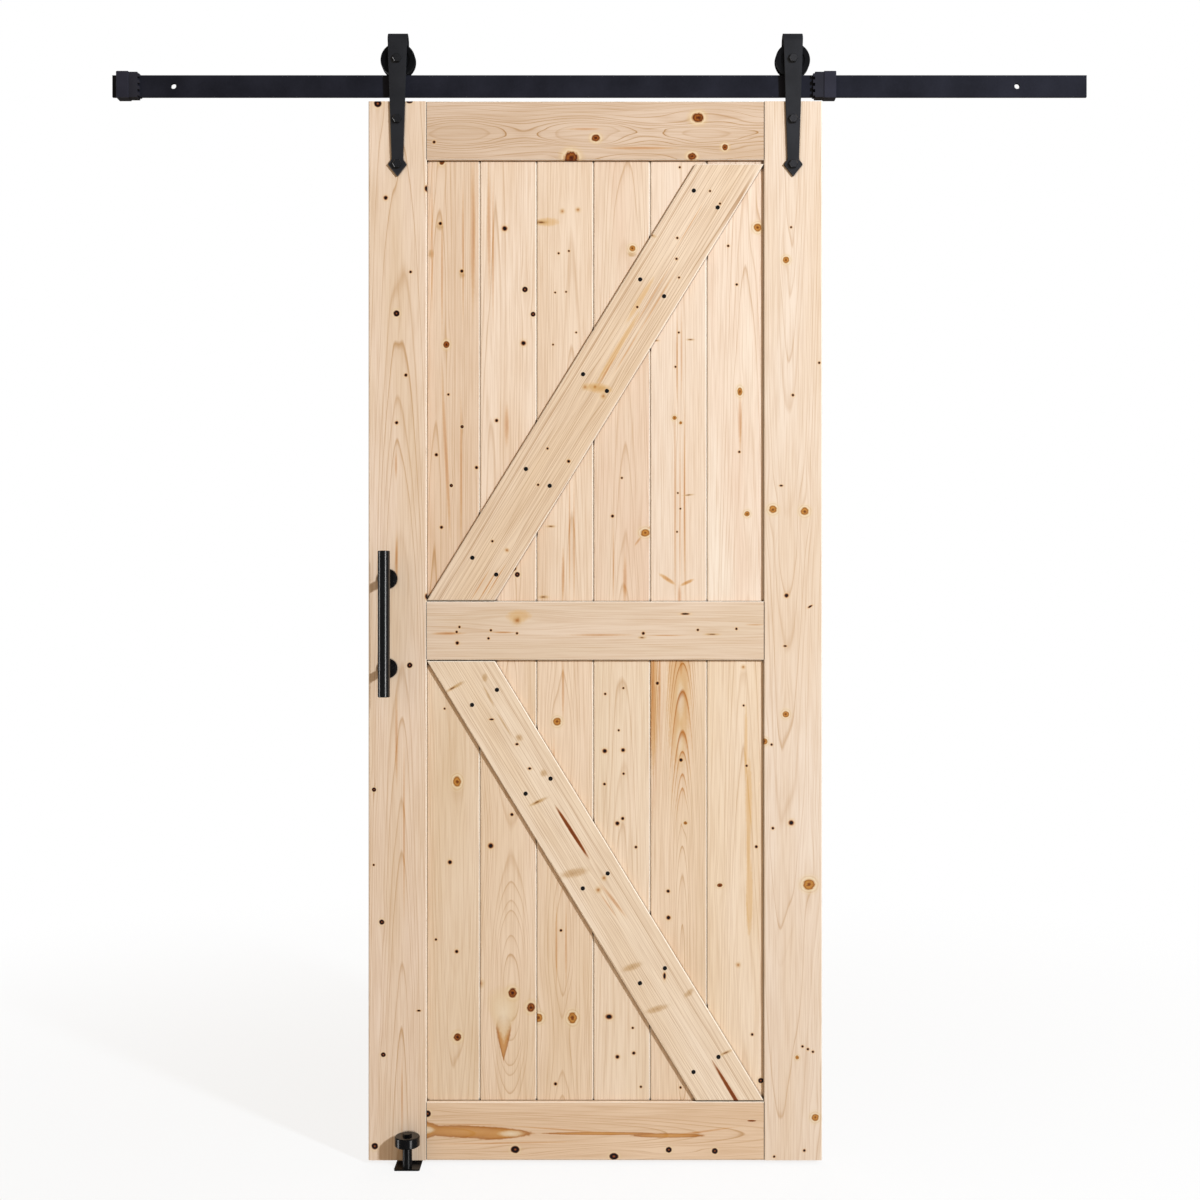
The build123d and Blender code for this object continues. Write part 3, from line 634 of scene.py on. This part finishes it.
# Black hardware. The straps have a satin powder coat with a fine orange-peel skin, the rail a duller
# blue-black one and the stops a lilac-grey one. Smooth lacquer on the round handle draws the lamps out
# into long streaks. Oiled bolts glint on their corners, the screws are dull. Turned nylon wheels and the
# moulded floor roller shine softly on their rims, and the rubber bumpers are dull with a dusty bloom.
blackFinishes = {
    "satinPowderCoatedSteel": {
        "dark": "1D1D1F", "pale": "29292C", "rough": (0.38, 0.52), "peelMm": 1.6, "bump": 0.18, "level": 0.32,
        "nodes": ["left_hanger", "right_hanger", "left_wall_spacer", "right_wall_spacer", "handle_bolts"],
    },
    "blueBlackRailSteel": {
        "dark": "1B1B21", "pale": "26262E", "rough": (0.45, 0.56), "peelMm": 1.8, "bump": 0.15, "level": 0.06,
        "nodes": ["track_bar"],
    },
    "lilacGreyStopCoat": {
        "dark": "25242D", "pale": "31303B", "rough": (0.45, 0.56), "peelMm": 1.6, "bump": 0.15, "level": 0.2,
        "nodes": ["left_stop", "right_stop"],
    },
    "smoothBlackLacqueredSteel": {
        "dark": "0A0A0B", "pale": "101012", "rough": (0.2, 0.22), "peelMm": 4.0, "bump": 0.0, "level": 0.58,
        "nodes": ["handle_bar", "upper_handle_post", "lower_handle_post"],
    },
    "blackOxideBoltSteel": {
        "dark": "121213", "pale": "1C1C1E", "rough": (0.2, 0.28), "peelMm": 1.0, "bump": 0.06, "level": 0.6,
        "nodes": ["left_axle_bolt", "right_axle_bolt", "left_hanger_bolts", "right_hanger_bolts"],
    },
    "dullBlackScrewCoat": {
        "dark": "09090A", "pale": "121213", "rough": (0.55, 0.7), "peelMm": 1.0, "bump": 0.1, "level": 0.15,
        "nodes": [],
    },
    "satinBlackGuideCoat": {
        "dark": "060607", "pale": "0B0B0C", "rough": (0.28, 0.36), "peelMm": 3.0, "bump": 0.03, "level": 0.2,
        "nodes": ["guide_axle", "guide_plate"],
    },
    "turnedBlackNylon": {
        "dark": "060607", "pale": "0C0C0E", "rough": (0.28, 0.38), "peelMm": 3.0, "bump": 0.05, "level": 0.16,
        "nodes": ["left_wheel", "right_wheel"],
    },
    "mouldedBlackNylon": {
        "dark": "08080A", "pale": "0E0E10", "rough": (0.17, 0.24), "peelMm": 3.0, "bump": 0.03, "level": 0.24,
        "nodes": ["guide_roller"],
    },
    "mouldedBlackRubber": {
        "dark": "201F26", "pale": "2C2B33", "rough": (0.62, 0.8), "peelMm": 1.2, "bump": 0.2, "level": 0.25,
        "nodes": ["left_stop_bumper", "right_stop_bumper"],
    },
}
coatPattern = {
    "cloudMm": 60,                  # faint patches
    "peelShare": 0.5,               # of the fine skin beside the patches
    "span": (0.5, 1.0),             # of both together, from the darker to the paler tone
    "peelDepth": 0.0003,            # metres
    "ior": 1.5,
}
blackMaterials = {}
for name, finish in blackFinishes.items():
    material, tree, shader = newMaterial(name)
    spot = addNode(tree, "ShaderNodeTexCoord", {}).outputs["Object"]
    peel = addNode(tree, "ShaderNodeTexNoise", {
        "Vector": spot, "Scale": mmPerMetre / finish["peelMm"], "Detail": 2,
    }).outputs[0]
    cloud = addNode(tree, "ShaderNodeTexNoise", {
        "Vector": spot, "Scale": mmPerMetre / coatPattern["cloudMm"], "Detail": 3,
    }).outputs[0]
    mixed = calculate(tree, "MULTIPLY_ADD", peel, coatPattern["peelShare"], cloud)
    share = mapRange(tree, mixed, coatPattern["span"])
    colour = mixColour(tree, share, hexToLinear(finish["dark"]), hexToLinear(finish["pale"]))
    rough = mapRange(tree, mixed, coatPattern["span"], finish["rough"])
    bump = addNode(tree, "ShaderNodeBump", {
        "Height": peel, "Strength": finish["bump"], "Distance": coatPattern["peelDepth"],
    }).outputs[0]
    tree.links.new(colour, shader.inputs["Base Color"])
    tree.links.new(rough, shader.inputs["Roughness"])
    tree.links.new(bump, shader.inputs["Normal"])
    shader.inputs["IOR"].default_value = coatPattern["ior"]
    shader.inputs["Specular IOR Level"].default_value = finish["level"]
    blackMaterials[name] = material
    for nodeName in finish["nodes"]:
        dress(nodeName, material)
print("hardware:", len(blackMaterials), "black finishes")


def finishPiece(shape, name, material, body):
    bmesh.ops.remove_doubles(shape, verts=shape.verts, dist=1e-6)
    bmesh.ops.recalc_face_normals(shape, faces=shape.faces)
    mesh = bpy.data.meshes.new(name)
    shape.to_mesh(mesh)
    shape.free()
    mesh.materials.append(material)
    piece = bpy.data.objects.new(name, mesh)
    scene.collection.objects.link(piece)
    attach(piece, body)


# Brace screws: black flat heads with a cross slot, in pairs across each brace; lengths in metres
braceScrew = {
    "headRadius": 0.0042, "headHeight": 0.0009, "edge": 0.0004, "segments": 32,
    "slotWidth": 0.0013, "slotReach": 0.0026, "slotDepth": 0.0006,
    "flatTop": 0.99,                # share of the height above which a face belongs to the flat top
    "rows": (-0.432, -0.223, 0.0, 0.223, 0.432), "across": 0.0293,
    "along": {"upper": (0.0011, -0.0031), "lower": (0.0, 0.0)},  # left and right one of a pair, off square
}


def makeScrewHead():
    shape = bmesh.new()
    bmesh.ops.create_circle(
        shape, cap_ends=True, segments=braceScrew["segments"], radius=braceScrew["headRadius"],
    )
    raised = bmesh.ops.extrude_face_region(shape, geom=shape.faces[:])["geom"]
    top = [e for e in raised if isinstance(e, bmesh.types.BMFace)][0]
    bmesh.ops.translate(shape, verts=top.verts, vec=(0, 0, braceScrew["headHeight"]))
    bmesh.ops.bevel(
        shape, geom=top.edges[:], offset=braceScrew["edge"], offset_type="OFFSET",
        affect="EDGES", segments=3, profile=0.5, material=-1,
    )
    halfSlot = braceScrew["slotWidth"] / 2
    slotReach = braceScrew["slotReach"]
    for axis in (Vector((1, 0, 0)), Vector((0, 1, 0))):
        for cut in (-slotReach, -halfSlot, halfSlot, slotReach):
            geometry = shape.verts[:] + shape.edges[:] + shape.faces[:]
            bmesh.ops.bisect_plane(shape, geom=geometry, plane_co=axis * cut, plane_no=axis)
    shape.normal_update()
    flatFrom = braceScrew["headHeight"] * braceScrew["flatTop"]
    cross = []
    for face in shape.faces:
        spot = face.calc_center_median()
        small, large = sorted((abs(spot.x), abs(spot.y)))
        if spot.z > flatFrom and small < halfSlot and large < slotReach:
            cross.append(face)
    sunk = bmesh.ops.extrude_face_region(shape, geom=cross)["geom"]
    sunkVerts = [e for e in sunk if isinstance(e, bmesh.types.BMVert)]
    bmesh.ops.translate(shape, verts=sunkVerts, vec=(0, 0, -braceScrew["slotDepth"]))
    bmesh.ops.recalc_face_normals(shape, faces=shape.faces)
    head = bpy.data.meshes.new("screwHead")
    shape.to_mesh(head)
    shape.free()
    return head


screwHead = makeScrewHead()
screwCoat = blackMaterials["dullBlackScrewCoat"]
for row in ("upper", "lower"):
    low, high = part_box(row + "_brace")
    middle = frontMiddle(low, high)
    toDoor = Euler((0, boardTurns[row + "_brace"], 0)).to_matrix().inverted()
    shape = bmesh.new()
    for along in braceScrew["rows"]:
        for side, shift in zip((-1, 1), braceScrew["along"][row]):
            spot = middle + toDoor @ Vector((side * braceScrew["across"], 0, along + shift))
            placed = len(shape.verts)
            shape.from_mesh(screwHead)
            stand = Matrix.Translation(spot) @ Matrix.Rotation(math.pi / 2, 4, "X")
            bmesh.ops.transform(shape, matrix=stand, verts=shape.verts[placed:])
    finishPiece(shape, row + "_brace_screws", screwCoat, "door")
print("screws set in both braces")

# Set screws: hexagon-socket grub screws in the backs of both rail stops, which hold them on the rail
setScrew = {
    "radius": 0.0029, "length": 0.006, "segments": 24, "sink": 0.001, "rise": 0.011,
    "across": 0.003, "socketDepth": 0.002,
}
shape = bmesh.new()
for side in ("left", "right"):
    low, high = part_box(side + "_stop")
    for rise in (-setScrew["rise"], setScrew["rise"]):
        back = Vector(((low.x + high.x) / 2, high.y - setScrew["sink"], rise))
        placed = len(shape.verts)
        bmesh.ops.create_cone(
            shape, cap_ends=True, segments=setScrew["segments"], radius1=setScrew["radius"],
            radius2=setScrew["radius"], depth=setScrew["length"],
        )
        screwFaces = {f for v in shape.verts[placed:] for f in v.link_faces}
        top = max(screwFaces, key=lambda f: f.calc_center_median().z)
        bmesh.ops.inset_region(shape, faces=[top], thickness=setScrew["radius"] - setScrew["across"] / 2)
        bmesh.ops.translate(shape, verts=top.verts, vec=(0, 0, -setScrew["socketDepth"]))
        inner = back - Vector((0, setScrew["length"] / 2, 0))
        stand = Matrix.Translation(inner) @ Matrix.Rotation(-math.pi / 2, 4, "X")
        bmesh.ops.transform(shape, matrix=stand, verts=shape.verts[placed:])
finishPiece(shape, "stop_set_screws", blackMaterials["blackOxideBoltSteel"], "track")
print("set screws in both stops")


# Stage: pale floor that fades out at its rim, white backdrop and a warm surround. A small cool key from
# the upper right throws crisp short shadows, with a weak wide fill and a lamp for the back. Two tall
# strips and a small card over the front show only as streaks in what shines.
stage = {
    "floorRadius": 3.2, "floorSegments": 96, "floorColour": "FDFCFB", "floorRough": 0.8,
    "fade": (0.6, 3.0), "solid": 0.18,
    "surround": 0.44, "mirrored": 0.12, "backdrop": "FFFFFF", "warmth": "F3DDBF",
}
lamps = {
    "key": {
        "place": (4.2, -4.2, 1.3), "size": (0.4, 0.4), "power": 415, "colour": "E0EFFF",
        "skips": "visible_glossy",
    },
    "fill": {
        "place": (-3.2, -3.6, 0.4), "size": (2.5, 2.5), "power": 14, "colour": "FFFFFF",
        "skips": "visible_glossy",
    },
    "rightStrip": {
        "place": (3.0, -3.58, -1.9), "size": (1.1, 5.2), "power": 200, "colour": "FFFFFF",
        "skips": "visible_diffuse",
    },
    "leftStrip": {
        "place": (-3.0, -0.37, -1.9), "size": (0.6, 5.2), "power": 80, "colour": "FFFFFF",
        "skips": "visible_diffuse",
    },
    "rear": {
        "place": (0.4, 4.0, 0.3), "size": (2.5, 2.0), "power": 42, "colour": "FFFFFF",
        "skips": "visible_glossy",
    },
    "frontCard": {
        "place": (0.8, -3.7, 1.1), "size": (1.8, 0.8), "power": 5, "colour": "F4F4FF",
        "skips": "visible_diffuse",
    },
}
doorMiddle = Vector(((cadBox[0][0] + cadBox[1][0]) / 2, 0, (cadBox[0][2] + cadBox[1][2]) / 2))
floorMiddle = Vector((doorMiddle.x, 0, cadBox[0][2]))
shape = bmesh.new()
bmesh.ops.create_circle(
    shape, cap_ends=True, segments=stage["floorSegments"], radius=stage["floorRadius"],
)
bmesh.ops.translate(shape, verts=shape.verts, vec=floorMiddle)
mesh = bpy.data.meshes.new("floor")
shape.to_mesh(mesh)
shape.free()
floor = bpy.data.objects.new("floor", mesh)
scene.collection.objects.link(floor)
floorPaint, tree, shader = newMaterial("paleFloor")
spot = addNode(tree, "ShaderNodeTexCoord", {}).outputs["Object"]
away = calculateVector(tree, "LENGTH", calculateVector(tree, "SUBTRACT", spot, floorMiddle))
there = mapRange(tree, away, stage["fade"], (stage["solid"], 0), interpolation_type="SMOOTHSTEP")
shader.inputs["Base Color"].default_value = hexToLinear(stage["floorColour"])
shader.inputs["Roughness"].default_value = stage["floorRough"]
tree.links.new(there, shader.inputs["Alpha"])
mesh.materials.append(floorPaint)

world = bpy.data.worlds.new("surround")
scene.world = world
world.use_nodes = True
tree = world.node_tree
path = addNode(tree, "ShaderNodeLightPath", {}).outputs
surround = stage["surround"]
strength = calculate(tree, "MULTIPLY_ADD", path["Is Glossy Ray"], stage["mirrored"] - surround, surround)
strength = calculate(tree, "MULTIPLY_ADD", path["Is Camera Ray"], 1 - surround, strength)
tint = mixColour(tree, path["Is Diffuse Ray"], hexToLinear(stage["backdrop"]), hexToLinear(stage["warmth"]))
backdrop = addNode(tree, "ShaderNodeBackground", {"Color": tint, "Strength": strength})
tree.links.new(backdrop.outputs[0], tree.nodes["World Output"].inputs[0])

for name, look in lamps.items():
    lamp = bpy.data.objects.new(name, bpy.data.lights.new(name, "AREA"))
    lamp.data.shape = "RECTANGLE"
    lamp.data.size, lamp.data.size_y = look["size"]
    lamp.data.energy = look["power"]
    lamp.data.color = hexToLinear(look["colour"])[:3]
    setattr(lamp, look["skips"], False)
    lamp.visible_camera = False
    lamp.location = look["place"]
    lamp.rotation_euler = (doorMiddle - lamp.location).to_track_quat("-Z", "Y").to_euler()
    scene.collection.objects.link(lamp)
scene.view_settings.view_transform = "Standard"
print("stage set")
